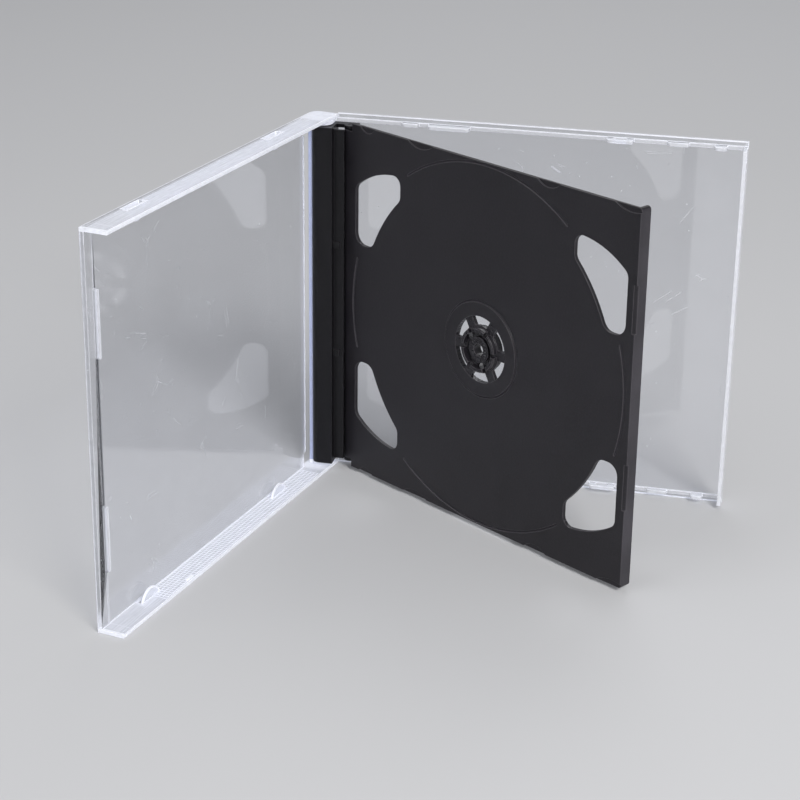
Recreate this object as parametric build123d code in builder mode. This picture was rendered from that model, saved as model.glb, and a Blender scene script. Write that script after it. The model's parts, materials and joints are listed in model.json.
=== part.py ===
from build123d import *
import math
import os

# Double disc case, standing half open on its lower edges.
# Millimetres. The origin is on the pin line of the front cover, on the surface the case stands on.
# X runs along the back cover from the spine to its free edge, +Y leaves through the back cover,
# and +Z is up. Every part is drawn shut, on planes that are turned about its own pin line.

# Whole case
case_width = 142.0
case_height = 125.0
case_depth = 10.4
panel = 1.2
side_wall = 1.2
shut_gap = 0.2

# Rest pose, in degrees from shut
cover_open = 101.4
cover_full = 180.0
tray_share = 1 / 3
tray_open = cover_open * tray_share
tray_full = cover_full * tray_share

# Pin line of the front cover
spine_to_pin = 4.0
back_to_pin = 5.2
pin_radius = 1.45
pin_fit = 0.05
ear_wall = 1.2
ear_gap = 0.3
arm_inset = 0.1
arm_round = 3.0
pin_tip_gap = 0.1

# Front cover
panel_lead = 1.2
relief_depth = 1.5
relief_length = 5.0
relief_round = 0.6
margin_width = 4.8
margin_rise = 0.25
stop_length = 21.0
stop_width = 1.3
stop_rise = 1.5
stop_spacing = 66.6
stop_from_edge = 4.1
tab_from_pin = 30.1
tab_from_free = 24.4
tab_length = 10.0
tab_depth = 3.4
tab_thickness = 0.7
tab_clear = 1.9
bump_length = 4.0
bump_width = 1.4
bump_rise = 0.25
bump_slope = 35.0
bump_from_rim = 1.3
bump_room = 0.3

# Back cover
spine_height = 8.2
free_wall_height = 7.7
rail_rise = 0.5
clips_from_pin = (28.8, 41.8)
clips_from_free = (40.5, 22.0, 8.5)
clip_lengths = (5.6, 13.6, 8.6, 7.0, 4.0)
clip_rises = (2.0, 3.5, 3.5, 2.0, 3.5)
clip_round = 1.2
notch_clear = 0.6
ear_round = 3.7

# Spine strip
strip_fit = 0.1
strip_skin = 1.2
strip_width = 7.2
strip_round = 2.5
strip_inner_round = 1.6
strip_end_gap = 0.2
lug_spacing = 40.6
lug_height = 2.4
lug_reach = 2.2
lug_rise = 0.9
ledge_from_front = 2.9
ledge_skin = 1.0
ledge_gap = 0.35

# Swinging tray
tray_pin_place = 9.5
tray_under_cover = 2.9
tray_depth = 4.4
tray_web = 1.3
tray_rib = 1.6
tray_free_rim = 1.6
tray_side_gap = 0.4
tray_free_gap = 0.5
tray_corner = 1.2
rail_room = 0.6
disc_room = 0.4
tray_pin_radius = 1.0
tray_pin_fit = 0.05
socket_skin = 1.2
socket_side_room = 0.6
scallops_from_pin = (19.8, 44.5)
scallops_from_free = (38.0, 5.2)
scallop_lengths = (6.8, 11.4, 9.4, 13.0)
scallop_sag = 1.9
scallop_depth = 0.5
edge_dips = (30.0, -27.0)
dip_length = 15.0
dip_width = 1.1
dip_depth = 0.9

# Disc seat
hub_from_pin = 64.0
disc_radius = 60.2
groove_width = 0.7
groove_depth = 0.25
groove_arcs = ((55.0, 70.0), (-17.0, 34.0), (165.0, 30.0), (-125.0, 71.0))
seat_radius = 15.5
seat_rise = 0.3
well_radius = 11.0
hub_radius = 7.4
hub_wall = 1.3
hub_rise = 1.7
hub_root = 0.5
hub_lead = 0.3
hub_fingers = 6
hub_slot = 1.4
spoke_width = 3.4
spoke_root = 0.6
boss_radius = 4.3
boss_bore = 2.0
boss_rise = 0.9
spoke_web = 0.9

# Finger openings in the tray, measured from the hub
grip_reach = 5.0
grip_edge = 1.0
grip_length = 21.2
grip_low = 20.6
grip_mouth = 7.8
grip_shoulder_drop = 7.5
grip_mid_drop = 2.3
grip_mid_in = 8.7
grip_round = 3.2
grip_low_round = 4.0

# Levels and ends worked out from the sizes above, for the case when it is shut
back_out = back_to_pin
back_in = back_out - panel
front_out = back_out - case_depth
front_in = front_out + panel
rim = back_in - shut_gap
spine_out = -spine_to_pin
free_out = spine_out + case_width
bump_place = free_out - clips_from_free[0]
clip_places = clips_from_pin + tuple(free_out - place for place in clips_from_free)
tab_places = (tab_from_pin, free_out - tab_from_free)
bump_level = rim - bump_from_rim
arm_end = spine_out + arm_inset
panel_start = spine_to_pin + panel_lead
bay_low = side_wall + ear_gap
bay_high = case_height - bay_low
mid_height = case_height / 2

tray_front = front_in + tray_under_cover
tray_half = tray_depth / 2
tray_pin_y = tray_front + tray_half
tray_low = side_wall + tray_side_gap
tray_high = case_height - tray_low
rib_low = bay_low + ear_wall + rail_room
tray_length = free_out - side_wall - tray_free_gap - tray_pin_place
scallop_places = scallops_from_pin + tuple(free_out - place for place in scallops_from_free)
slot_reach = 3 * hub_wall
grip_inner = disc_radius - grip_reach
grip_far = disc_radius - grip_edge
grip_near = grip_far - grip_length
grip_top = math.sqrt(grip_inner**2 - grip_near**2) + grip_mouth

strip_low = bay_low + ear_wall + strip_end_gap
strip_high = case_height - strip_low
strip_left = spine_out + side_wall + strip_fit
strip_front = front_out + strip_fit
strip_back = back_in - strip_fit
socket_top = strip_low + socket_skin
strip_right = strip_left + strip_width
ledge_level = strip_front + ledge_from_front
full_turn = math.radians(tray_full)
ledge_behind_pin = ledge_level + ledge_skin - tray_pin_y
ledge_reach = tray_half + ledge_gap + ledge_behind_pin * math.cos(full_turn)
ledge_end = tray_pin_place - ledge_reach / math.sin(full_turn)
socket_radius = tray_pin_radius + tray_pin_fit + socket_skin

os.makedirs("parts", exist_ok=True)


def plan(pin, angle, height):
    """Level plane at a height, with its origin on a pin line and x along a leaf opened by angle."""
    turn = math.radians(angle)
    return Plane(
        origin=(pin[0], pin[1], height),
        x_dir=(math.cos(turn), -math.sin(turn), 0),
        z_dir=(0, 0, 1),
    )


def face(pin, angle, level):
    """Upright plane along a leaf opened by angle, with z up, at a level towards the back."""
    turn = math.radians(angle)
    return Plane(
        origin=(pin[0] + level * math.sin(turn), pin[1] + level * math.cos(turn), 0),
        x_dir=(math.cos(turn), -math.sin(turn), 0),
        z_dir=(-math.sin(turn), -math.cos(turn), 0),
    )


cover_pin = (0, 0)
tray_pin = (tray_pin_place, tray_pin_y)
low_corner = (Align.MIN, Align.MIN)
on_mid = (Align.CENTER, Align.MIN)


# Front cover: a clear panel with a wall along its two long sides. Each wall runs on past the
# panel as an arm, and a pin on each arm turns in the ears of the back cover.
with BuildPart() as front_cover:
    with BuildSketch(face(cover_pin, cover_open, front_in)) as cover_panel:
        with Locations((panel_start, 0)):
            Rectangle(free_out - panel_start, case_height, align=low_corner)
        with Locations(
            (panel_start, side_wall),
            (panel_start, case_height - side_wall - relief_length),
        ):
            Rectangle(relief_depth, relief_length, align=low_corner, mode=Mode.SUBTRACT)
        fillet(cover_panel.vertices().sort_by(Axis.Y)[4:-4], radius=relief_round)
    extrude(amount=panel)

    # Side walls with the arms, rounded where they turn behind the spine
    for height in (0, case_height - side_wall):
        with BuildSketch(plan(cover_pin, cover_open, height)) as cover_wall:
            with Locations((arm_end, front_out)):
                Rectangle(free_out - arm_end, rim - front_out, align=low_corner)
            arm_corner = cover_wall.vertices().sort_by(Axis.X)[0:2].sort_by(Axis.Y)[0]
            fillet(arm_corner, radius=arm_round)
        extrude(amount=side_wall)

    # Margin along the free edge, a shade thicker than the rest, with two stops for the booklet
    with BuildSketch(face(cover_pin, cover_open, front_in)):
        with Locations((free_out - margin_width, side_wall)):
            Rectangle(margin_width, case_height - 2 * side_wall, align=low_corner)
    extrude(amount=-margin_rise)
    with BuildSketch(face(cover_pin, cover_open, front_in)):
        with Locations(
            (free_out - stop_from_edge, mid_height - stop_spacing / 2),
            (free_out - stop_from_edge, mid_height + stop_spacing / 2),
        ):
            SlotOverall(stop_length, stop_width, rotation=90)
    extrude(amount=-stop_rise)

    # Half-moon tabs that hold the booklet, each behind a window in the wall that carries it
    tab_radius = (tab_length**2 / 4 + tab_depth**2) / (2 * tab_depth)
    tab_under = front_in + tab_clear
    with BuildSketch(face(cover_pin, cover_open, tab_under)) as tabs:
        with Locations(*[(place, side_wall + tab_depth - tab_radius) for place in tab_places]):
            Circle(tab_radius)
        with Locations(
            *[(place, case_height - side_wall - tab_depth + tab_radius) for place in tab_places]
        ):
            Circle(tab_radius)
        with Locations((panel_start, side_wall / 2)):
            Rectangle(
                free_out - panel_start, case_height - side_wall, align=low_corner, mode=Mode.INTERSECT
            )
    extrude(amount=-tab_thickness)
    with BuildSketch(plan(cover_pin, cover_open, 0)):
        with Locations(*[(place, front_in) for place in tab_places]):
            Rectangle(tab_length, tab_clear, align=on_mid)
    extrude(amount=side_wall, mode=Mode.SUBTRACT)
    with BuildSketch(plan(cover_pin, cover_open, case_height - side_wall)):
        with Locations(*[(place, front_in) for place in tab_places]):
            Rectangle(tab_length, tab_clear, align=on_mid)
    extrude(amount=side_wall, mode=Mode.SUBTRACT)

    # Bumps inside the walls that click into the rails of the back cover
    with BuildSketch(plan(cover_pin, cover_open, side_wall)):
        with Locations((bump_place, bump_level)):
            SlotOverall(bump_length, bump_width)
    extrude(amount=bump_rise, taper=bump_slope)
    with BuildSketch(plan(cover_pin, cover_open, case_height - side_wall)):
        with Locations((bump_place, bump_level)):
            SlotOverall(bump_length, bump_width)
    extrude(amount=-bump_rise, taper=bump_slope)

    # Pins
    pin_length = ear_gap + ear_wall - pin_tip_gap
    with BuildSketch(plan(cover_pin, cover_open, side_wall)):
        Circle(pin_radius)
    extrude(amount=pin_length)
    with BuildSketch(plan(cover_pin, cover_open, case_height - side_wall)):
        Circle(pin_radius)
    extrude(amount=-pin_length)
front_cover.part.label = "front_cover"
export_step(front_cover.part, "parts/front_cover.step")


# Back cover: a clear panel with a wall at the spine and at the free edge, low rails along its
# long sides, and an ear at each end of the spine for the pins of the front cover.
with BuildPart() as back_cover:
    arm_sweep = math.hypot(arm_end, rim)
    notch_end = math.sqrt(arm_sweep**2 - back_in**2) + notch_clear
    with BuildSketch(face(cover_pin, 0, back_out)):
        with Locations((spine_out, 0)):
            Rectangle(case_width, case_height, align=low_corner)
        with Locations((spine_out, 0), (spine_out, case_height - bay_low)):
            Rectangle(notch_end - spine_out, bay_low, align=low_corner, mode=Mode.SUBTRACT)
    extrude(amount=panel)

    # Spine wall and free wall
    with BuildSketch(plan(cover_pin, 0, bay_low)):
        with Locations((spine_out, back_out - spine_height)):
            Rectangle(side_wall, spine_height, align=low_corner)
        with Locations((free_out - side_wall, back_out - free_wall_height)):
            Rectangle(side_wall, free_wall_height, align=low_corner)
    extrude(amount=bay_high - bay_low)

    # Low rails along both long sides, with taller clips that pass the edge of the tray
    for low_end in (bay_low, bay_high - ear_wall):
        with BuildSketch(plan(cover_pin, 0, low_end)):
            with Locations((spine_out, back_in - rail_rise)):
                Rectangle(case_width, rail_rise, align=low_corner)
        extrude(amount=ear_wall)
        with BuildSketch(plan(cover_pin, 0, low_end)) as clips:
            for place, length, rise in zip(clip_places, clip_lengths, clip_rises):
                with Locations((place, back_in - rise)):
                    Rectangle(length, rise, align=on_mid)
            clip_tips = clips.vertices().filter_by(lambda corner: corner.Y < back_in - min(clip_rises) / 2)
            fillet(clip_tips, radius=clip_round)
            with Locations((bump_place, bump_level)):
                SlotOverall(
                    bump_length + 2 * bump_room, bump_width + 2 * bump_room, mode=Mode.SUBTRACT
                )
        extrude(amount=ear_wall)

        # Ear round the pin of the front cover
        with BuildSketch(plan(cover_pin, 0, low_end)) as ear:
            with Locations((spine_out, 0)):
                Rectangle(spine_to_pin + ear_round, back_in, align=low_corner)
            Circle(ear_round)
            Circle(pin_radius + pin_fit, mode=Mode.SUBTRACT)
        extrude(amount=ear_wall)
back_cover.part.label = "back_cover"
export_step(back_cover.part, "parts/back_cover.step")


# Spine strip: a black channel moulding that fills the spine, with a ledge that closes the gap to
# the knuckle of the tray, and an end plate above and below that carries the socket for its pin.
with BuildPart() as tray_spine:
    for low_end, length in (
        (socket_top, strip_high - strip_low - 2 * socket_skin),
        (strip_low, socket_skin),
        (strip_high - socket_skin, socket_skin),
    ):
        with BuildSketch(plan(cover_pin, 0, low_end)) as channel:
            with Locations((strip_left, strip_front)):
                Rectangle(strip_width, strip_back - strip_front, align=low_corner)
            front_corners = channel.vertices().group_by(Axis.Y)[0].sort_by(Axis.X)
            fillet(front_corners[0], radius=strip_round)
            fillet(front_corners[1], radius=strip_inner_round)
            if low_end == socket_top:
                offset(amount=-strip_skin, mode=Mode.SUBTRACT)
                with Locations((strip_left + strip_skin, strip_back - strip_skin)):
                    Rectangle(
                        strip_width - 2 * strip_skin, strip_skin, align=low_corner, mode=Mode.SUBTRACT
                    )
                with Locations((strip_right - strip_skin, ledge_level)):
                    Rectangle(ledge_end - strip_right + strip_skin, ledge_skin, align=low_corner)
            else:
                with Locations((strip_left + strip_skin, strip_back)):
                    Rectangle(
                        tray_pin_place - strip_left - strip_skin + socket_radius,
                        strip_back - tray_pin_y,
                        align=(Align.MIN, Align.MAX),
                    )
                with Locations(tray_pin):
                    Circle(socket_radius)
                    Circle(tray_pin_radius + tray_pin_fit, mode=Mode.SUBTRACT)
        extrude(amount=length)

    # Two small lugs on the ledge
    for lug_low in (mid_height - lug_spacing / 2, mid_height + lug_spacing / 2 - lug_height):
        with BuildSketch(plan(cover_pin, 0, lug_low)):
            with Locations((strip_right - strip_skin, ledge_level - lug_rise)):
                Rectangle(strip_skin + lug_reach, lug_rise + ledge_skin, align=low_corner)
        extrude(amount=lug_height)
tray_spine.part.label = "tray_spine"
export_step(tray_spine.part, "parts/tray_spine.step")


# Swinging tray: a thin black web with a wall and four ribs on its back, a round knuckle along its
# hinge edge, a seat and a fingered hub for a disc on each face, and four openings to lift them by.
hub = (hub_from_pin, mid_height)
web_front = -tray_half
web_back = web_front + tray_web
with BuildPart() as swing_tray:
    # Web
    with BuildSketch(face(tray_pin, tray_open, web_back)) as web:
        with Locations((0, tray_low)):
            Rectangle(tray_length, tray_high - tray_low, align=low_corner)
        fillet(web.vertices().group_by(Axis.X)[-1], radius=tray_corner)
    extrude(amount=tray_web)

    # Wall on the back along the free side, and ribs along the long sides. The ribs are set in to
    # clear the rails and clips of the back cover, and stop short of the disc.
    with BuildSketch(face(tray_pin, tray_open, tray_half)) as frame:
        with Locations((tray_length - tray_free_rim, tray_low)):
            Rectangle(tray_free_rim, tray_high - tray_low, align=low_corner)
        fillet(frame.vertices().group_by(Axis.X)[-1], radius=tray_corner)
        with Locations((0, rib_low), (0, case_height - rib_low - tray_rib)):
            Rectangle(tray_length - tray_free_rim, tray_rib, align=low_corner)
        with Locations(hub):
            Circle(disc_radius + disc_room, mode=Mode.SUBTRACT)
    extrude(amount=tray_depth - tray_web)

    # Knuckle
    with BuildSketch(plan(tray_pin, tray_open, tray_low)):
        Circle(tray_half)
    extrude(amount=tray_high - tray_low)

    # Room at both ends of the knuckle for the sockets of the spine strip, and the pins
    socket_room = socket_top + strip_end_gap
    for low_end in (tray_low, case_height - socket_room):
        with BuildSketch(plan(tray_pin, tray_open, low_end)):
            with Locations((-tray_depth, -tray_depth)):
                Rectangle(
                    tray_depth + socket_radius + socket_side_room,
                    2 * tray_depth,
                    align=low_corner,
                )
        extrude(amount=socket_room - tray_low, mode=Mode.SUBTRACT)
    with BuildSketch(plan(tray_pin, tray_open, strip_low + pin_tip_gap)):
        Circle(tray_pin_radius)
    extrude(amount=socket_room - strip_low - pin_tip_gap)
    with BuildSketch(plan(tray_pin, tray_open, case_height - socket_room)):
        Circle(tray_pin_radius)
    extrude(amount=socket_room - strip_low - pin_tip_gap)

    # Shallow scallops in the front, along both long edges
    with BuildSketch(face(tray_pin, tray_open, web_front + scallop_depth)):
        for place, length in zip(scallop_places, scallop_lengths):
            bow = (length**2 / 4 + scallop_sag**2) / (2 * scallop_sag)
            with Locations(
                (place - tray_pin_place, tray_low + scallop_sag - bow),
                (place - tray_pin_place, tray_high - scallop_sag + bow),
            ):
                Circle(bow)
    extrude(amount=scallop_depth, mode=Mode.SUBTRACT)

    # Bevelled dips along the free edge
    for place in edge_dips:
        with BuildSketch(plan(tray_pin, tray_open, mid_height + place - dip_length / 2)):
            with BuildLine():
                Polyline(
                    (tray_length - dip_width, web_front),
                    (tray_length, web_front),
                    (tray_length, web_front + dip_depth),
                    close=True,
                )
            make_face()
        extrude(amount=dip_length, mode=Mode.SUBTRACT)

    # Raised seat for a disc on each face. Grooves in the front run round the seat and along parts
    # of the edge of the disc.
    with BuildSketch(face(tray_pin, tray_open, web_back + seat_rise)):
        with Locations(hub):
            Circle(seat_radius)
    extrude(amount=tray_web + 2 * seat_rise)
    with BuildSketch(face(tray_pin, tray_open, web_front + groove_depth)):
        with Locations(hub):
            Circle(seat_radius + groove_width)
            Circle(seat_radius, mode=Mode.SUBTRACT)
        for start, sweep_angle in groove_arcs:
            with BuildLine():
                arc = CenterArc(hub, disc_radius, start, sweep_angle)
            SlotArc(arc, groove_width)
    extrude(amount=groove_depth, mode=Mode.SUBTRACT)

    # Finger openings
    with BuildSketch(face(tray_pin, tray_open, tray_half)) as grips:
        for side in (-1, 1):
            for rise in (-1, 1):
                near = hub[0] + side * grip_near
                far = hub[0] + side * grip_far
                shoulder = (far, hub[1] + rise * (grip_top - grip_shoulder_drop))
                crown = (far - side * grip_mid_in, hub[1] + rise * (grip_top - grip_mid_drop))
                tip = (near, hub[1] + rise * grip_top)
                with BuildLine():
                    Polyline(
                        tip, (near, hub[1] + rise * grip_low), (far, hub[1] + rise * grip_low), shoulder
                    )
                    ThreePointArc(shoulder, crown, tip)
                make_face()
        with Locations(hub):
            Circle(grip_inner, mode=Mode.SUBTRACT)
        grip_middle = (grip_low + grip_top) / 2
        low_corners = grips.vertices().filter_by(lambda corner: abs(corner.Y - hub[1]) < grip_middle)
        fillet(low_corners, radius=grip_low_round)
        high_corners = grips.vertices().filter_by(lambda corner: abs(corner.Y - hub[1]) > grip_middle)
        fillet(high_corners, radius=grip_round)
    extrude(amount=tray_depth, mode=Mode.SUBTRACT)

    # Hub: a well with spokes, fingers that stand up on both faces over the gaps between the
    # spokes, and a bored boss
    with BuildSketch(face(tray_pin, tray_open, web_back + seat_rise)):
        with Locations(hub):
            Circle(well_radius)
    extrude(amount=tray_web + 2 * seat_rise, mode=Mode.SUBTRACT)
    hub_section = plan(tray_pin, tray_open, mid_height)
    with BuildSketch(hub_section) as finger:
        with Locations((hub_from_pin + hub_radius, (web_front + web_back) / 2)):
            Rectangle(hub_wall, tray_web + 2 * hub_rise, align=(Align.MAX, Align.CENTER))
        chamfer(finger.vertices().group_by(Axis.X)[-1], length=hub_lead)
    hub_axis = Axis(hub_section.from_local_coords((hub_from_pin, 0, 0)), hub_section.y_dir)
    revolve(axis=hub_axis)
    for level in (web_back + hub_rise, web_front):
        with BuildSketch(face(tray_pin, tray_open, level)):
            with Locations(hub):
                with PolarLocations(hub_radius, hub_fingers):
                    Rectangle(slot_reach, hub_slot)
        extrude(amount=hub_rise, mode=Mode.SUBTRACT)
    with BuildSketch(face(tray_pin, tray_open, web_back)):
        with Locations(hub):
            Circle(hub_radius + hub_root)
            with PolarLocations(0, hub_fingers):
                with Locations(((well_radius + boss_radius) / 2, 0)):
                    Rectangle(well_radius - boss_radius + 2 * spoke_root, spoke_width)
            Circle(boss_bore, mode=Mode.SUBTRACT)
            Circle(hub_radius - hub_wall, mode=Mode.SUBTRACT)
    extrude(amount=tray_web)
    with BuildSketch(face(tray_pin, tray_open, web_back)):
        with Locations(hub):
            with PolarLocations(0, hub_fingers):
                with Locations((hub_radius - hub_wall, 0)):
                    Rectangle(
                        hub_radius - hub_wall - boss_radius + spoke_root,
                        spoke_width,
                        align=(Align.MAX, Align.CENTER),
                    )
    extrude(amount=spoke_web)
    with BuildSketch(face(tray_pin, tray_open, web_back + boss_rise)):
        with Locations(hub):
            Circle(boss_radius)
            Circle(boss_bore, mode=Mode.SUBTRACT)
    extrude(amount=tray_web + 2 * boss_rise)
swing_tray.part.label = "swing_tray"
export_step(swing_tray.part, "parts/swing_tray.step")
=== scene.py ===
"""Finishes, light and camera for a clear double disc case that stands half open.

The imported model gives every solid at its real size. This script dresses each of them, adds the
fine grid that is moulded into the side walls of the front cover, and sets up a plain studio.
Sizes and places of the case's own parts and all shader maths are in mm. Mesh points, the floor,
the lamps and the camera are in metres.
"""

import json
import logging
import math
from collections.abc import Mapping, Sequence
from dataclasses import dataclass
from enum import Enum

import bmesh
import bpy
import numpy as np
from mathutils import Matrix, Vector


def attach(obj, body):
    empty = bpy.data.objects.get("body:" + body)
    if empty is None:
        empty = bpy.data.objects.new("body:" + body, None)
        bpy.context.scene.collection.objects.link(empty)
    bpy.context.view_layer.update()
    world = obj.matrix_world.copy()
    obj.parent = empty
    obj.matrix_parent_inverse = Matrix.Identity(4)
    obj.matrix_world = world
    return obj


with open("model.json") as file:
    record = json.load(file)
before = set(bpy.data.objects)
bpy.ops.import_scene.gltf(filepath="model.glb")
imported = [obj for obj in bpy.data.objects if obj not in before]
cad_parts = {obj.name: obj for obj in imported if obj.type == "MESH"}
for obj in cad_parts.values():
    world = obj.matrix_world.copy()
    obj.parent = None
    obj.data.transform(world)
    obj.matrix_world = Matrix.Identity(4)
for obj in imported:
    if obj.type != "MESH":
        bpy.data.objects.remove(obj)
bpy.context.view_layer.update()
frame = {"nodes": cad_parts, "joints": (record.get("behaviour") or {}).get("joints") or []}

LOG = logging.getLogger("disc_case")
MM = 0.001
SAME_POINT = 1e-6
FLAT_DEGREES = 0.5

Colour = tuple[float, float, float]


class Value:
    """A number that changes over a surface, read from a shader socket.

    Python's operators on it add Math nodes, so a mask reads like an ordinary formula.
    """

    def __init__(self, shader: "Shader", socket: bpy.types.NodeSocket) -> None:
        """Wraps a socket.

        Args:
            shader: The material's node tree.
            socket: The output that gives the number.
        """
        self.shader = shader
        self.socket = socket

    def maths(self, operation: str, *terms: "Term") -> "Value":
        """Adds one Math node.

        Args:
            operation: Blender's name of the operation.
            terms: Its inputs in order, as numbers or values.

        Returns:
            The result as a value.
        """
        node = self.shader.node(
            "ShaderNodeMath", {"operation": operation}, dict(enumerate(terms))
        )
        return Value(self.shader, node.outputs[0])

    def __add__(self, other: "Term") -> "Value":
        """Sum."""
        return self.maths("ADD", self, other)

    def __radd__(self, other: "Term") -> "Value":
        """Sum with a number in front."""
        return self.maths("ADD", other, self)

    def __sub__(self, other: "Term") -> "Value":
        """Difference."""
        return self.maths("SUBTRACT", self, other)

    def __rsub__(self, other: "Term") -> "Value":
        """Difference from a number."""
        return self.maths("SUBTRACT", other, self)

    def __mul__(self, other: "Term") -> "Value":
        """Product."""
        return self.maths("MULTIPLY", self, other)

    def __rmul__(self, other: "Term") -> "Value":
        """Product with a number in front."""
        return self.maths("MULTIPLY", other, self)

    def __truediv__(self, other: "Term") -> "Value":
        """Quotient."""
        return self.maths("DIVIDE", self, other)

    def __pow__(self, other: "Term") -> "Value":
        """Power."""
        return self.maths("POWER", self, other)

    def __abs__(self) -> "Value":
        """Absolute value."""
        return self.maths("ABSOLUTE", self)

    def most(self, other: "Term") -> "Value":
        """The greater of two numbers."""
        return self.maths("MAXIMUM", self, other)

    def least(self, other: "Term") -> "Value":
        """The smaller of two numbers."""
        return self.maths("MINIMUM", self, other)

    def rise(self, low: float, high: float) -> "Value":
        """A smooth step.

        Args:
            low: Where the step is still 0.
            high: Where the step has reached 1. A high under low makes the step fall.

        Returns:
            A value from 0 to 1.
        """
        ends = (low, high, 0.0, 1.0) if low < high else (high, low, 1.0, 0.0)
        node = self.shader.node(
            "ShaderNodeMapRange",
            {"interpolation_type": "SMOOTHSTEP"},
            {0: self} | dict(enumerate(ends, start=1)),
        )
        return Value(self.shader, node.outputs[0])


Term = Value | bpy.types.NodeSocket | float | Sequence[float]


class Shader:
    """The node tree of one material, world or floor."""

    def __init__(self, owner: bpy.types.Material | bpy.types.World) -> None:
        """Empties the owner's node tree and keeps it.

        Args:
            owner: The material or world whose nodes are made.
        """
        owner.use_nodes = True
        self.tree = owner.node_tree
        self.tree.nodes.clear()

    def node(
        self,
        kind: str,
        settings: Mapping[str, object] | None = None,
        sockets: Mapping[str | int, Term] | None = None,
    ) -> bpy.types.Node:
        """Adds a node.

        Args:
            kind: The node's type.
            settings: Its own settings, such as a Math node's operation, set first.
            sockets: Values or links of its inputs, by name or place.

        Returns:
            The new node.
        """
        made = self.tree.nodes.new(kind)
        for name, setting in (settings or {}).items():
            setattr(made, name, setting)
        for name, term in (sockets or {}).items():
            if isinstance(term, Value):
                term = term.socket
            if isinstance(term, bpy.types.NodeSocket):
                self.tree.links.new(term, made.inputs[name])
            else:
                made.inputs[name].default_value = term
        return made

    def value(
        self,
        kind: str,
        settings: Mapping[str, object] | None = None,
        sockets: Mapping[str | int, Term] | None = None,
    ) -> Value:
        """Adds a node and wraps its first output.

        Args:
            kind: The node's type.
            settings: Its own settings.
            sockets: Values or links of its inputs.

        Returns:
            That output as a value.
        """
        return Value(self, self.node(kind, settings, sockets).outputs[0])

    def noise(self, place: bpy.types.NodeSocket, per_mm: float, detail: float = 2.0) -> Value:
        """Soft random patches.

        Args:
            place: Where the pattern is read, in millimetres.
            per_mm: Patches to a millimetre.
            detail: Octaves of finer patches.

        Returns:
            A value round 0.5.
        """
        return self.value(
            "ShaderNodeTexNoise",
            sockets={"Vector": place, "Scale": per_mm, "Detail": detail},
        )

    def blend(self, factor: Term, first: Colour, second: Colour) -> bpy.types.NodeSocket:
        """Mixes two colours.

        Args:
            factor: 0 for the first colour, 1 for the second.
            first: Linear red, green and blue.
            second: Linear red, green and blue.

        Returns:
            The mixed colour's socket.
        """
        mix = self.node(
            "ShaderNodeMix", {"data_type": "RGBA"}, {0: factor, 6: (*first, 1.0), 7: (*second, 1.0)}
        )
        return mix.outputs[2]

    def bump(self, height_mm: Value) -> bpy.types.NodeSocket:
        """Turns a fine relief into a normal.

        Args:
            height_mm: The relief over the real surface.

        Returns:
            The normal's socket.
        """
        sockets = {"Height": height_mm, "Distance": MM}
        return self.node("ShaderNodeBump", sockets=sockets).outputs["Normal"]

    def join(self, factor: Term, first: Term, second: Term) -> bpy.types.NodeSocket:
        """Mixes two surfaces.

        Args:
            factor: 0 for the first surface, 1 for the second.
            first: A surface shader's socket.
            second: A surface shader's socket.

        Returns:
            The mixed surface's socket.
        """
        return self.node("ShaderNodeMixShader", sockets={0: factor, 1: first, 2: second}).outputs[0]

    def finish(self, surface: bpy.types.NodeSocket, kind: str = "ShaderNodeOutputMaterial") -> None:
        """Shows a surface.

        Args:
            surface: The shader's socket.
            kind: The type of the output node.
        """
        self.node(kind, sockets={"Surface": surface})


@dataclass(frozen=True)
class Leaf:
    """Where a leaf of the case stands: its pin line in metres, and its turn from shut in radians."""

    pin: tuple[float, float]
    angle: float

    def points(self, along: np.ndarray, level: np.ndarray, height: np.ndarray) -> np.ndarray:
        """Places points that are given in the leaf's own frame.

        A point is the pin line's place, plus along times the leaf's direction, plus level times
        the direction towards its back, at the given height.

        Args:
            along: Distance from the pin line, in metres.
            level: Distance towards the back of the leaf.
            height: Height over the floor.

        Returns:
            An array with the points in its last axis.
        """
        cos, sin = math.cos(self.angle), math.sin(self.angle)
        x = self.pin[0] + along * cos + level * sin
        y = self.pin[1] - along * sin + level * cos
        return np.stack([x, y, height + 0 * x], axis=-1)

    def read(self, shader: Shader) -> tuple[bpy.types.NodeSocket, Value, Value, Value]:
        """Reads a surface point in the leaf's own frame.

        Args:
            shader: The material's nodes.

        Returns:
            The place as a vector, then along, level and height, all in millimetres.
        """
        cos, sin = math.cos(self.angle), math.sin(self.angle)
        shift = (
            (self.pin[1] * sin - self.pin[0] * cos) / MM,
            (-self.pin[0] * sin - self.pin[1] * cos) / MM,
            0.0,
        )
        place = shader.node("ShaderNodeTexCoord").outputs["Object"]
        turned = shader.node(
            "ShaderNodeMapping",
            sockets={
                "Vector": place,
                "Location": shift,
                "Rotation": (0.0, 0.0, self.angle),
                "Scale": (1 / MM,) * 3,
            },
        ).outputs[0]
        parts = shader.node("ShaderNodeSeparateXYZ", sockets={0: turned})
        return turned, *(Value(shader, output) for output in parts.outputs)


class Side(Enum):
    """Which leaf of the case a piece belongs to, as the joint that it turns on."""

    COVER = "cover_hinge"
    TRAY = "tray_hinge"
    BACK = ""

    def leaf(self) -> Leaf:
        """Finds where the leaf stands: it is opened by the angle between its shut limit and rest."""
        for row in frame["joints"]:
            if row["name"] == self.value:
                return Leaf(tuple(row["pos_m"][:2]), math.radians(-row["range_deg"][0]))
        return Leaf((0.0, 0.0), 0.0)


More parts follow.
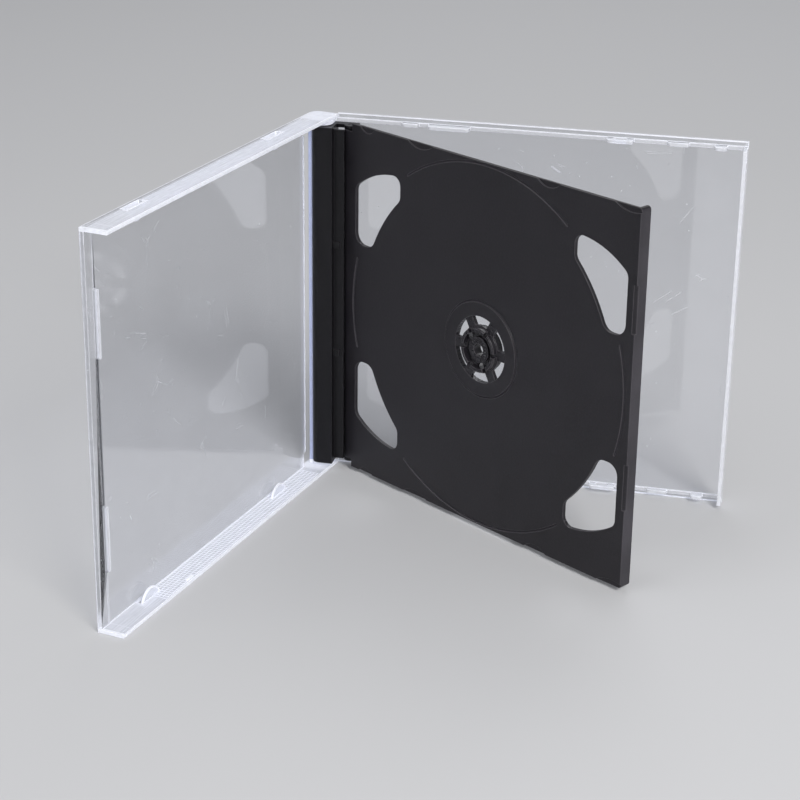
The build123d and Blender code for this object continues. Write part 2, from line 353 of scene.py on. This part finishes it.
@dataclass(frozen=True)
class Band:
    """A stretch of a cover painted pale, in the cover's own frame and in mm: a painted glow where
    light would leave the plastic.

    Inset is the distance from the nearest long end of the case. An end that is None is open.
    """

    haze_and_glow: float
    along: tuple[float | None, float | None] = (None, None)
    level: tuple[float | None, float | None] = (None, None)
    inset: tuple[float | None, float | None] = (None, None)
    soft: float = 0.06

    def share(self, along: Value, level: Value, inset: Value) -> Value | float:
        """Works out how pale a point is: the band's share of milkiness and painted glow times a smooth
        step at each stated end.

        Args:
            along: Distance from the pin line.
            level: Distance towards the back.
            inset: Distance from the nearest long end.

        Returns:
            0 outside the stretch, and the band's share inside. It is that share alone if no end is
            stated.
        """
        share: Value | float = self.haze_and_glow
        for place, (low, high) in ((along, self.along), (level, self.level), (inset, self.inset)):
            if low is not None:
                share = place.rise(low - self.soft, low) * share
            if high is not None:
                share = place.rise(high + self.soft, high) * share
        return share


@dataclass(frozen=True)
class Crescent:
    """A half-moon tab with a pale rim of painted glow. It stands out of a side wall, and is measured
    in mm.
    """

    haze_and_glow: float
    place: float
    tip: float
    length: float
    depth: float
    level: tuple[float, float]
    rim: float = 0.6
    soft: float = 0.1
    inside: float = 0.35

    def share(self, along: Value, level: Value, inset: Value) -> Value:
        """Works out how pale a point is: most at the rim, and about a third of that inside.

        The outline is a circle through the two ends of the tab's root and its tip. A point's
        distance from the circle's middle gives its distance from the rim.

        Args:
            along: Distance from the pin line.
            level: Distance towards the back.
            inset: Distance from the nearest long end.

        Returns:
            0 away from the tab, and up to its share on it.
        """
        radius = (self.length**2 / 4 + self.depth**2) / (2 * self.depth)
        middle = self.tip - radius
        far = ((along - self.place) ** 2.0 + (inset - middle) ** 2.0) ** 0.5
        inner = radius - self.rim
        rim = far.rise(inner - self.soft, inner + self.soft) * (1 - self.inside) + self.inside
        on_tab = Band(
            self.haze_and_glow,
            (self.place - self.length / 2, self.place + self.length / 2),
            self.level,
            (self.tip - self.depth + self.soft, self.tip + self.soft),
        )
        return on_tab.share(along, level, inset) * rim


@dataclass(frozen=True)
class ClearFinish:
    """Water-clear polystyrene with real dust, scratches and smudges, painted pale and glowing in some
    bands and at the edges, a painted glow where light would leave it.

    Streaked is a band with drawn-out streaks, and tinted is one that takes the spine's colour.
    Even and uneven are the steady and the mottled part of a band's share of milkiness and painted
    glow.
    """

    name: str
    bands: tuple[Band | Crescent, ...] = ()
    streaked: Band | None = None
    tinted: Band | None = None
    height_mm: float = 125.0
    tint: Colour = (0.935, 0.945, 0.975)
    pale: Colour = (0.88, 0.90, 0.97)
    spine: Colour = (0.40, 0.455, 0.69)
    shade: Colour = (0.93, 0.935, 0.95)
    # Strength of the painted glow: the pale surface's own emission.
    glow: float = 0.16
    roughness: float = 0.04
    smudge_roughness: float = 0.06
    pale_roughness: float = 0.3
    index: float = 1.57
    dust_haze: float = 0.8
    smudge_haze: float = 0.03
    even: float = 0.82
    uneven: float = 0.36

    def wear(self, shader: Shader, place: bpy.types.NodeSocket) -> Value:
        """Draws dust specks and hair-fine scratches.

        Specks are the hearts of Voronoi cells, and scratches are stretches of cell borders that
        a soft noise lets through.

        Args:
            shader: The material's nodes.
            place: The surface point in mm.

        Returns:
            1 on a speck, up to a half on a scratch and 0 elsewhere.
        """
        cells = shader.value("ShaderNodeTexVoronoi", sockets={"Vector": place, "Scale": 0.3})
        specks = cells.rise(0.06, 0.04) * shader.noise(place, 0.06).rise(0.42, 0.56)
        borders = shader.value(
            "ShaderNodeTexVoronoi",
            {"feature": "DISTANCE_TO_EDGE"},
            {"Vector": place, "Scale": 0.06},
        )
        scratches = borders.rise(0.0045, 0.002) * shader.noise(place, 0.11).rise(0.6, 0.68)
        return specks.most(scratches * 0.5)

    def haze_and_glow(self, shader: Shader, leaf: Leaf) -> tuple[Value, Value, Term]:
        """Works out how pale the plastic is at each point: real dust, scratches and smudges, and the
        painted glow of the bands.

        Args:
            shader: The material's nodes.
            leaf: Where the cover stands.

        Returns:
            The share of milkiness and painted glow from 0 to 1, the smudges from 0 to 1, and the share
            of the spine's tint.
        """
        place, along, level, height = leaf.read(shader)
        middle = self.height_mm / 2
        inset = middle - abs(height - middle)
        mottle = shader.noise(place, 0.45)
        smudge = shader.noise(place, 0.035, 3.0).rise(0.42, 0.8)
        haze_and_glow = self.wear(shader, place) * self.dust_haze + smudge * self.smudge_haze
        # Painted glow: each band paints the plastic pale where light would leave it at an edge, rim,
        # tab, window, bump or pin.
        for band in self.bands:
            mottled = band.share(along, level, inset) * (self.even + self.uneven * mottle)
            haze_and_glow = haze_and_glow.most(mottled)
        # Painted glow: the side walls are painted pale with drawn-out streaks.
        if self.streaked:
            drawn = shader.node(
                "ShaderNodeMapping",
                sockets={"Vector": place, "Scale": (0.1, 3.0, 1.0)},
            ).outputs[0]
            streaks = shader.noise(drawn, 1.0, 3.0).rise(0.3, 0.75)
            milk_and_glow = self.streaked.share(along, level, inset) * (0.7 + 0.4 * streaks + 0.25 * mottle)
            haze_and_glow = haze_and_glow.most(milk_and_glow)
        tinted = self.tinted.share(along, level, inset) if self.tinted else 0.0
        return haze_and_glow.least(1.0), smudge, tinted

    def material(self, leaf: Leaf) -> bpy.types.Material:
        """Makes the material.

        Args:
            leaf: Where the cover stands.

        Returns:
            Clear plastic mixed with a pale surface by the share of milkiness and painted glow, and the
            pale surface shines by itself, a painted glow.
            Rays from lamps and soft scattered light pass straight through the clear part.
        """
        material = bpy.data.materials.new(self.name)
        shader = Shader(material)
        haze_and_glow, smudge, tinted = self.haze_and_glow(shader, leaf)
        clear = shader.node(
            "ShaderNodeBsdfPrincipled",
            sockets={
                "Base Color": (*self.tint, 1.0),
                "Transmission Weight": 1.0,
                "IOR": self.index,
                "Roughness": self.roughness + smudge * self.smudge_roughness,
            },
        ).outputs[0]
        # Painted glow: the pale surface emits its own pale colour, so the bands and edges shine as if
        # light left the plastic there. The same pale colour also shows the real dust, scratches and
        # smudges.
        milk_and_glow = shader.blend(tinted, self.pale, self.spine)
        pale = shader.node(
            "ShaderNodeBsdfPrincipled",
            sockets={
                "Base Color": milk_and_glow,
                "Roughness": self.pale_roughness,
                "IOR": self.index,
                "Emission Color": milk_and_glow,
                "Emission Strength": self.glow,
            },
        ).outputs[0]
        let_through = shader.node(
            "ShaderNodeBsdfTransparent", sockets={0: (*self.shade, 1.0)}
        ).outputs[0]
        path = shader.node("ShaderNodeLightPath").outputs
        soft_ray = Value(shader, path["Is Shadow Ray"]).most(path["Is Diffuse Ray"])
        body = shader.join(soft_ray, clear, let_through)
        shader.finish(shader.join(haze_and_glow, body, pale))
        return material


@dataclass(frozen=True)
class BlackFinish:
    """Black polystyrene with a fine spark-eroded grain, glossier round a hub where it has one.

    Wear of 1 gives worn_colour, and most_wear is where it stops. Grooves are rings round the
    hub, given by their radii, and show only below the face at groove_from_mm; they are painted pale, a
    painted highlight of light caught in them.
    From the distance given for the free edge on, along the leaf, the surface is painted pale: a
    painted highlight of the key light on that face.
    """

    name: str
    colour: Colour = (0.0105, 0.0093, 0.0122)
    worn_colour: Colour = (0.0215, 0.0196, 0.0242)
    roughness: float = 0.46
    grain_per_mm: float = 1.4
    grain_mm: float = 0.04
    specular: float = 0.3
    gloss: float = 0.2
    index: float = 1.55
    most_wear: float = 4.0
    hub: tuple[float, float] = (0.0, 0.0)
    hub_radius_mm: float = 0.0
    grooves_mm: tuple[float, ...] = ()
    groove_reach_mm: float = 0.36
    groove_mm: float = 0.4
    groove_from_mm: float = 0.0
    groove_highlight: float = 2.6
    groove_gloss: float = 0.6
    lit_edge_from_mm: float | None = None
    edge_highlight: float = 1.8

    def wear_and_highlight_colour(self) -> Colour:
        """The colour at the most wear and painted highlight, in a straight line past worn_colour."""
        ends = zip(self.colour, self.worn_colour)
        return tuple(low + self.most_wear * (high - low) for low, high in ends)

    def material(self, leaf: Leaf) -> bpy.types.Material:
        """Makes the material.

        Args:
            leaf: Where the piece's leaf stands.

        Returns:
            A black surface with grain, soft patches of wear, pale specks and grooves.
        """
        material = bpy.data.materials.new(self.name)
        shader = Shader(material)
        place, along, level, height = leaf.read(shader)
        from_hub = ((along - self.hub[0]) ** 2.0 + (height - self.hub[1]) ** 2.0) ** 0.5
        glossy = from_hub.rise(self.hub_radius_mm + 0.05, self.hub_radius_mm - 0.05)
        grain = shader.noise(place, self.grain_per_mm, 3.0)
        patches = shader.noise(place, 0.05, 4.0).rise(0.32, 0.7)
        specks = shader.noise(place, 0.9, 1.0).rise(0.68, 0.76)
        # Real wear: patches, grain and pale specks. Painted highlights are added below.
        wear = patches * 0.4 + (grain - 0.35) * 1.5 + specks * 0.4
        # Painted highlight: past the given distance the free edge's face is painted pale, as the key
        # light would light it.
        if self.lit_edge_from_mm is not None:
            lit_edge = along.rise(self.lit_edge_from_mm - 0.3, self.lit_edge_from_mm)
            wear = wear + lit_edge * (self.edge_highlight + patches * self.edge_highlight)
        relief = grain * (1 - glossy) * self.grain_mm
        for radius in self.grooves_mm:
            hollow = abs(from_hub - radius).rise(self.groove_reach_mm, 0.0)
            sunk = level.rise(self.groove_from_mm + 0.02, self.groove_from_mm + 0.1)
            in_groove = (hollow * 4.0).least(1.0) * sunk
            # Painted highlight: the groove is painted pale, as light caught on its walls.
            wear = wear + in_groove * self.groove_highlight
            glossy = glossy.most(in_groove * self.groove_gloss)
            relief = relief - hollow * sunk * self.groove_mm
        # The share of real wear and painted highlight.
        wear_and_highlight_share = wear.least(self.most_wear) / self.most_wear
        colour = shader.blend(wear_and_highlight_share, self.colour, self.wear_and_highlight_colour())
        rough = self.roughness + (patches - 0.5) * 0.08 + (grain - 0.5) * 0.16
        surface = shader.node(
            "ShaderNodeBsdfPrincipled",
            sockets={
                "Base Color": colour,
                "Roughness": rough * (1 - glossy) + self.gloss * glossy,
                "IOR": self.index,
                "Specular IOR Level": self.specular,
                "Normal": shader.bump(relief),
            },
        ).outputs[0]
        shader.finish(surface)
        return material


def dress(piece: bpy.types.Object, *materials: bpy.types.Material) -> None:
    """Gives a piece its finishes.

    Args:
        piece: The object.
        materials: The finish of its faces, and then that of its rounded edges.
    """
    while len(piece.material_slots) < len(materials):
        piece.data.materials.append(None)
    for slot, material in zip(piece.material_slots, materials):
        slot.material = material


def ease_edges(piece: bpy.types.Object, width_mm: float, corner: float = 35.0) -> None:
    """Rounds the sharp edges of a CAD solid a little, as a mould leaves them.

    The rounded faces take the piece's second finish.

    Args:
        piece: The CAD node's object.
        width_mm: How wide the rounding is.
        corner: Edges that turn by more than this many degrees are rounded.
    """
    weld = piece.modifiers.new("Weld", "WELD")
    weld.merge_threshold = SAME_POINT
    flat = piece.modifiers.new("Flat", "DECIMATE")
    flat.decimate_type = "DISSOLVE"
    flat.angle_limit = math.radians(FLAT_DEGREES)
    bevel = piece.modifiers.new("Rounding", "BEVEL")
    bevel.width = width_mm * MM
    bevel.segments = 2
    bevel.limit_method = "ANGLE"
    bevel.angle_limit = math.radians(corner)
    bevel.use_clamp_overlap = False
    bevel.material = 1
    shade = piece.modifiers.new("Shading", "WEIGHTED_NORMAL")
    shade.weight = 100


@dataclass
class SideGrid:
    """The fine square grid that is moulded into the inner face of a side wall."""

    name: str
    floor_mm: float
    inward: float
    from_mm: float = 10.0
    to_mm: float = 112.0
    low_mm: float = -3.7
    high_mm: float = 3.5
    pitch_mm: float = 1.35
    width_mm: float = 0.34
    rise_mm: float = 0.09
    sunk_mm: float = 0.02

    def rib(self, ends: np.ndarray, across: np.ndarray, turned: bool) -> tuple[np.ndarray, ...]:
        """Straight ribs with a pointed section, one for each place across.

        A rib's section is a triangle: two feet sunk in the wall, half a width to each side, and
        a crest between them. The section is carried from one end to the other.

        Args:
            ends: The two ends of each rib, in mm.
            across: Places of the ribs, in mm.
            turned: True if the ribs run across the wall.

        Returns:
            Along, level and height of each corner, in mm.
        """
        side = np.array([-0.5, 0.5, 0.0]) * self.width_mm
        rise = np.array([-self.sunk_mm, -self.sunk_mm, self.rise_mm])
        run, place, corner = np.meshgrid(ends, across, np.arange(3), indexing="ij")
        cross = place + side[corner]
        height = self.floor_mm + self.inward * rise[corner]
        return (cross, run, height) if turned else (run, cross, height)

    def build(self, leaf: Leaf) -> bpy.types.Object:
        """Makes all ribs of one wall as one mesh.

        Args:
            leaf: Where the cover stands.

        Returns:
            The new object.
        """
        long_places = np.arange(self.low_mm, self.high_mm + self.pitch_mm / 2, self.pitch_mm)
        cross_places = np.arange(self.from_mm, self.to_mm + self.pitch_mm / 2, self.pitch_mm)
        sets = (
            self.rib(np.array([self.from_mm, self.to_mm]), long_places, False),
            self.rib(np.array([self.low_mm, self.high_mm]), cross_places, True),
        )
        points, faces, start = [], [], 0
        for along, level, height in sets:
            points.append(leaf.points(along * MM, level * MM, height * MM).reshape(-1, 3))
            count = along.shape[1]
            near = start + np.arange(count)[:, None] * 3 + np.arange(3)[None, :]
            far = near + 3 * count
            turn = np.roll(np.arange(3), -1)
            quads = np.stack([near, near[:, turn], far[:, turn], far], axis=-1).reshape(-1, 4)
            faces += quads.tolist() + near[:, ::-1].tolist() + far.tolist()
            start += 6 * count
        mesh = bpy.data.meshes.new(self.name)
        mesh.from_pydata(np.concatenate(points).tolist(), [], faces)
        mesh.update()
        made = bpy.data.objects.new(self.name, mesh)
        bpy.context.scene.collection.objects.link(made)
        point_outwards(mesh)
        return made


def point_outwards(mesh: bpy.types.Mesh) -> None:
    """Turns every face of a mesh outwards.

    Args:
        mesh: The mesh to correct.
    """
    work = bmesh.new()
    work.from_mesh(mesh)
    bmesh.ops.recalc_face_normals(work, faces=work.faces)
    work.to_mesh(mesh)
    work.free()


@dataclass
class FrontCover:
    """The clear front cover, with the fine grid inside its two side walls.

    Line is how wide a pale edge line of painted glow is.
    """

    line: float = 0.3
    far: float = 138.0
    front_out: float = -5.2
    front_in: float = -4.0
    rim: float = 3.8
    height: float = 125.0
    side_wall: float = 1.2
    panel_start: float = 5.2
    margin: float = 4.8
    stop_from_edge: float = 4.1
    stop_half: float = 0.8
    stop_inset: float = 4.0
    tab_places: tuple[float, float] = (30.1, 113.6)
    tab_length: float = 10.0
    tab_depth: float = 3.4
    tab_level: tuple[float, float] = (-2.2, -1.3)
    bump_place: float = 97.5
    bump_half: float = 2.3
    rounding: float = 0.12

    def bands(self) -> tuple[Band | Crescent, ...]:
        """Lists where the cover is painted pale with a painted glow: rims, ends, stops, tabs, windows,
        bumps and pins.
        """
        line = self.line
        wall = (None, self.side_wall + 0.02)
        stop_middle = self.far - self.stop_from_edge
        stop = (stop_middle - self.stop_half, stop_middle + self.stop_half)
        stop_inset = (self.stop_inset, None)
        margin_start = self.far - self.margin
        windows = tuple(
            Band(
                0.9,
                (place - self.tab_length / 2 - 0.7, place + self.tab_length / 2 + 0.7),
                (self.front_in + 1.2, self.front_in + 3.0),
                (None, 0.15),
            )
            for place in self.tab_places
        )
        tabs = tuple(
            Crescent(
                0.95,
                place,
                self.side_wall + self.tab_depth,
                self.tab_length,
                self.tab_depth,
                self.tab_level,
            )
            for place in self.tab_places
        )
        return windows + tabs + (
            Band(0.9, level=(self.rim - 0.4, None), inset=(None, 0.4)),
            Band(0.8, level=(self.rim - line, None), inset=wall),
            Band(0.9, level=(None, self.front_out + line), inset=(None, line)),
            Band(0.6, level=(self.front_in - 0.1, self.front_in + line), inset=wall),
            Band(0.42, (self.far - line, None)),
            Band(0.9, (self.far - 1.0, None), inset=wall),
            Band(0.7, (None, 5.0), inset=wall, soft=6.0),
            Band(0.5, (margin_start - 0.1, margin_start + line)),
            Band(0.35, (self.panel_start - 0.1, self.panel_start + line), (None, self.front_in + 0.2)),
            Band(0.35, stop, (self.front_in + 0.35, None), stop_inset),
            Band(0.68, stop, (self.front_in + 1.35, None), stop_inset),
            Band(
                0.95,
                (self.bump_place - self.bump_half, self.bump_place + self.bump_half),
                (1.5, 3.4),
                (self.side_wall + 0.05, 1.6),
            ),
            Band(0.7, (-2.0, 2.0), (-2.0, 2.0), (self.side_wall, None)),
        )

    def build(self) -> list[bpy.types.Object]:
        """Dresses the cover and adds the grids.

        Returns:
            The cover and both grids.
        """
        leaf = Side.COVER.leaf()
        cover = frame["nodes"]["front_cover"]
        wall = Band(0.4, inset=(None, self.side_wall + 0.02))
        finish = ClearFinish("clear_front_plastic", self.bands(), wall)
        # Painted glow: the rounded edges are painted pale and shine by themselves, most near the long
        # ends.
        edge_bands = (Band(0.5), Band(0.9, inset=(None, 5.0)))
        edges = ClearFinish("clear_front_edges_painted_glow", edge_bands)
        dress(cover, finish.material(leaf), edges.material(leaf))
        ease_edges(cover, self.rounding)
        # The ribs are painted pale with the same painted glow.
        ribs = ClearFinish("clear_front_ribs", (Band(0.75),)).material(leaf)
        pieces = [cover]
        for name, floor, inward in (
            ("low_wall_grid", self.side_wall, 1.0),
            ("high_wall_grid", self.height - self.side_wall, -1.0),
        ):
            grid = SideGrid(name, floor, inward).build(leaf)
            dress(grid, ribs)
            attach(grid, "cover")
            pieces.append(grid)
        return pieces


@dataclass
class BackCover:
    """The clear back cover, with its rails, clips and ears.

    Line is how wide a pale edge line of painted glow is.
    """

    line: float = 0.3
    near: float = -4.0
    far: float = 138.0
    back_out: float = 5.2
    back_in: float = 4.0
    wall: float = 1.2
    spine_rim: float = -3.0
    free_rim: float = -2.5
    rails: tuple[float, float] = (1.45, 2.75)
    ear_end: float = 3.8
    rounding: float = 0.12

    def spine(self) -> tuple[None, float]:
        """The stretch along the cover that holds the spine's wall."""
        return (None, self.near + self.wall + 0.05)

    def bands(self) -> tuple[Band, ...]:
        """Lists where the cover is painted pale with a painted glow: its outline, rims, rails, clips
        and ears.
        """
        line = self.line
        free_wall = (self.far - self.wall - 0.05, None)
        return (
            Band(0.85, level=(self.back_out - line, None), inset=(None, line)),
            Band(0.75, level=(self.back_in - 0.1, self.back_in + line), inset=(None, line)),
            Band(0.3, inset=(None, 0.05)),
            Band(0.5, (self.far - line, None)),
            Band(0.6, free_wall, (None, self.free_rim + line)),
            Band(0.2, free_wall, (None, self.back_in)),
            Band(0.85, self.spine(), (None, self.spine_rim + line)),
            Band(0.45, self.spine()),
            Band(0.3, level=(None, self.back_in - 0.02), inset=self.rails),
            Band(0.45, level=(None, 2.4), inset=self.rails),
            Band(0.75, (None, self.ear_end), (None, self.back_in), self.rails),
        )

    def build(self) -> list[bpy.types.Object]:
        """Dresses the cover.

        Returns:
            The cover.
        """
        leaf = Side.BACK.leaf()
        cover = frame["nodes"]["back_cover"]
        blue = Band(1.0, self.spine(), (None, self.spine_rim + 0.4), (3.0, None))
        # Painted glow: the rounded edges are painted pale and shine by themselves, most near the long
        # ends.
        edge_bands = (Band(0.5), Band(0.85, inset=(None, 5.0)))
        finish = ClearFinish("clear_back_plastic", self.bands(), tinted=blue)
        edges = ClearFinish("clear_back_edges_painted_glow", edge_bands, tinted=blue)
        dress(cover, finish.material(leaf), edges.material(leaf))
        ease_edges(cover, self.rounding)
        return [cover]


@dataclass
class SpineStrip:
    """The black strip that fills the spine."""

    rounding: float = 0.12

    def build(self) -> list[bpy.types.Object]:
        """Dresses the strip.

        Returns:
            The strip.
        """
        leaf = Side.BACK.leaf()
        strip = frame["nodes"]["tray_spine"]
        smooth = {"grain_mm": 0.008, "roughness": 0.36, "specular": 0.22}
        finish = BlackFinish(
            "smooth_black_plastic",
            colour=(0.0052, 0.005, 0.0063),
            worn_colour=(0.0095, 0.0091, 0.011),
            **smooth,
        )
        edges = BlackFinish("smooth_black_edges", **smooth)
        dress(strip, finish.material(leaf), edges.material(leaf))
        ease_edges(strip, self.rounding)
        return [strip]


@dataclass
class SwingTray:
    """The grained black tray, glossier round its hub, with painted highlights in its grooves, on its
    free edge and on its rounded edges.
    """

    hub: tuple[float, float] = (64.0, 62.5)
    well: float = 11.0
    grooves: tuple[float, float] = (60.2, 15.85)
    front: float = -2.2
    length: float = 126.8
    rounding: float = 0.1

    def build(self) -> list[bpy.types.Object]:
        """Dresses the tray.

        Returns:
            The tray.
        """
        leaf = Side.TRAY.leaf()
        tray = frame["nodes"]["swing_tray"]
        finish = BlackFinish(
            "grained_black_plastic",
            hub=self.hub,
            hub_radius_mm=self.well,
            grooves_mm=self.grooves,
            groove_from_mm=self.front,
            lit_edge_from_mm=self.length - 0.1,
        )
        # Painted highlight: the rounded edges are painted much paler than the faces, as light would
        # catch them.
        edges = BlackFinish(
            "black_edges_painted_highlight",
            colour=(0.055, 0.051, 0.058),
            worn_colour=(0.085, 0.08, 0.089),
            roughness=0.34,
            grain_mm=0.01,
            hub=self.hub,
            hub_radius_mm=self.well,
        )
        dress(tray, finish.material(leaf), edges.material(leaf))
        ease_edges(tray, self.rounding)
        return [tray]


@dataclass(frozen=True)
class Softbox:
    """A square lamp that looks at a point. Its spread is in degrees and its power in watts."""

    name: str
    place: tuple[float, float, float]
    side: float
    power: float
    colour: Colour = (1.0, 1.0, 1.0)
    spread: float = 180.0
    target: tuple[float, float, float] = (0.05, -0.05, 0.06)

    def hang(self) -> None:
        """Adds the lamp."""
        light = bpy.data.lights.new(self.name, "AREA")
        light.shape = "SQUARE"
        light.size = self.side
        light.energy = self.power
        light.spread = math.radians(self.spread)
        light.color = self.colour
        lamp = bpy.data.objects.new(self.name, light)
        way = Vector(self.target) - Vector(self.place)
        turn = way.to_track_quat("-Z", "Y").to_matrix().to_4x4()
        lamp.matrix_world = Matrix.Translation(self.place) @ turn
        bpy.context.scene.collection.objects.link(lamp)


@dataclass
class Studio:
    """A pale floor, soft lamps and the camera at the photograph's angle.

    Yaw, pitch and roll are in radians, and the lens and the sensor in the camera's own mm.
    """

    floor_radius: float = 7.0
    floor_sides: int = 96
    floor_drop: float = 0.00005
    floor_colour: Colour = (0.62, 0.622, 0.635)
    world_colour: Colour = (0.60, 0.61, 0.63)
    world_light: float = 0.54
    camera_place: tuple[float, float, float] = (0.176686, -0.649295, 0.300127)
    yaw: float = -0.2262
    pitch: float = 0.3888
    roll: float = 0.0129
    lens: float = 94.895
    sensor: float = 36.0
    nearest: float = 0.01

    def lay_floor(self) -> None:
        """Lays a round floor just under the case: triangles from a middle point to a ring."""
        count = self.floor_sides
        turn = np.linspace(0.0, 2 * math.pi, count, endpoint=False)
        ring = np.stack([np.cos(turn), np.sin(turn), 0 * turn], axis=-1) * self.floor_radius
        points = np.concatenate([[(0.0, 0.0, 0.0)], ring]) - (0.0, 0.0, self.floor_drop)
        step = np.arange(count)
        faces = np.stack([0 * step, step + 1, (step + 1) % count + 1], axis=-1)
        mesh = bpy.data.meshes.new("floor")
        mesh.from_pydata(points.tolist(), [], faces.tolist())
        floor = bpy.data.objects.new("floor", mesh)
        bpy.context.scene.collection.objects.link(floor)
        material = bpy.data.materials.new("floor")
        shader = Shader(material)
        surface = shader.node(
            "ShaderNodeBsdfPrincipled",
            sockets={
                "Base Color": (*self.floor_colour, 1.0),
                "Roughness": 0.9,
                "Specular IOR Level": 0.1,
            },
        )
        shader.finish(surface.outputs[0])
        floor.data.materials.append(material)

    def light(self) -> None:
        """Hangs the lamps and fills the world with a soft pale light."""
        Softbox("key", (0.74, -0.99, 0.93), 0.5, 5.0, (1.0, 0.99, 0.975), 100.0).hang()
        Softbox("fill", (-0.9, -0.9, 1.2), 0.9, 4.0, (0.97, 0.98, 1.0)).hang()
        Softbox("back", (0.1, 1.0, 1.1), 0.8, 4.0).hang()
        world = bpy.data.worlds.new("studio")
        bpy.context.scene.world = world
        shader = Shader(world)
        glow = shader.node(
            "ShaderNodeBackground",
            sockets={"Color": (*self.world_colour, 1.0), "Strength": self.world_light},
        )
        shader.finish(glow.outputs[0], "ShaderNodeOutputWorld")

    def place_camera(self) -> None:
        """Stands the camera where the photograph was taken from."""
        data = bpy.data.cameras.new("camera")
        data.sensor_width = self.sensor
        data.lens = self.lens
        data.clip_start = self.nearest
        camera = bpy.data.objects.new("camera", data)
        bpy.context.scene.collection.objects.link(camera)
        forward = Vector(
            (
                math.sin(self.yaw) * math.cos(self.pitch),
                math.cos(self.yaw) * math.cos(self.pitch),
                -math.sin(self.pitch),
            )
        )
        level_right = Vector((math.cos(self.yaw), -math.sin(self.yaw), 0.0))
        level_up = level_right.cross(forward)
        right = math.cos(self.roll) * level_right + math.sin(self.roll) * level_up
        up = -math.sin(self.roll) * level_right + math.cos(self.roll) * level_up
        turn = Matrix((right, up, -forward)).transposed().to_4x4()
        camera.matrix_world = Matrix.Translation(self.camera_place) @ turn
        bpy.context.scene.camera = camera

    def build(self) -> None:
        """Sets up the floor, the lamps and the camera."""
        self.lay_floor()
        self.light()
        self.place_camera()
        bpy.context.scene.view_settings.view_transform = "Standard"


def main() -> None:
    """Builds the case and the studio, and reports the pieces."""
    logging.basicConfig(level=logging.INFO)
    for assembly in (FrontCover(), BackCover(), SpineStrip(), SwingTray()):
        for piece in assembly.build():
            LOG.info("%s: %d faces", piece.name, len(piece.data.polygons))
    Studio().build()


if __name__ == "__main__":
    main()
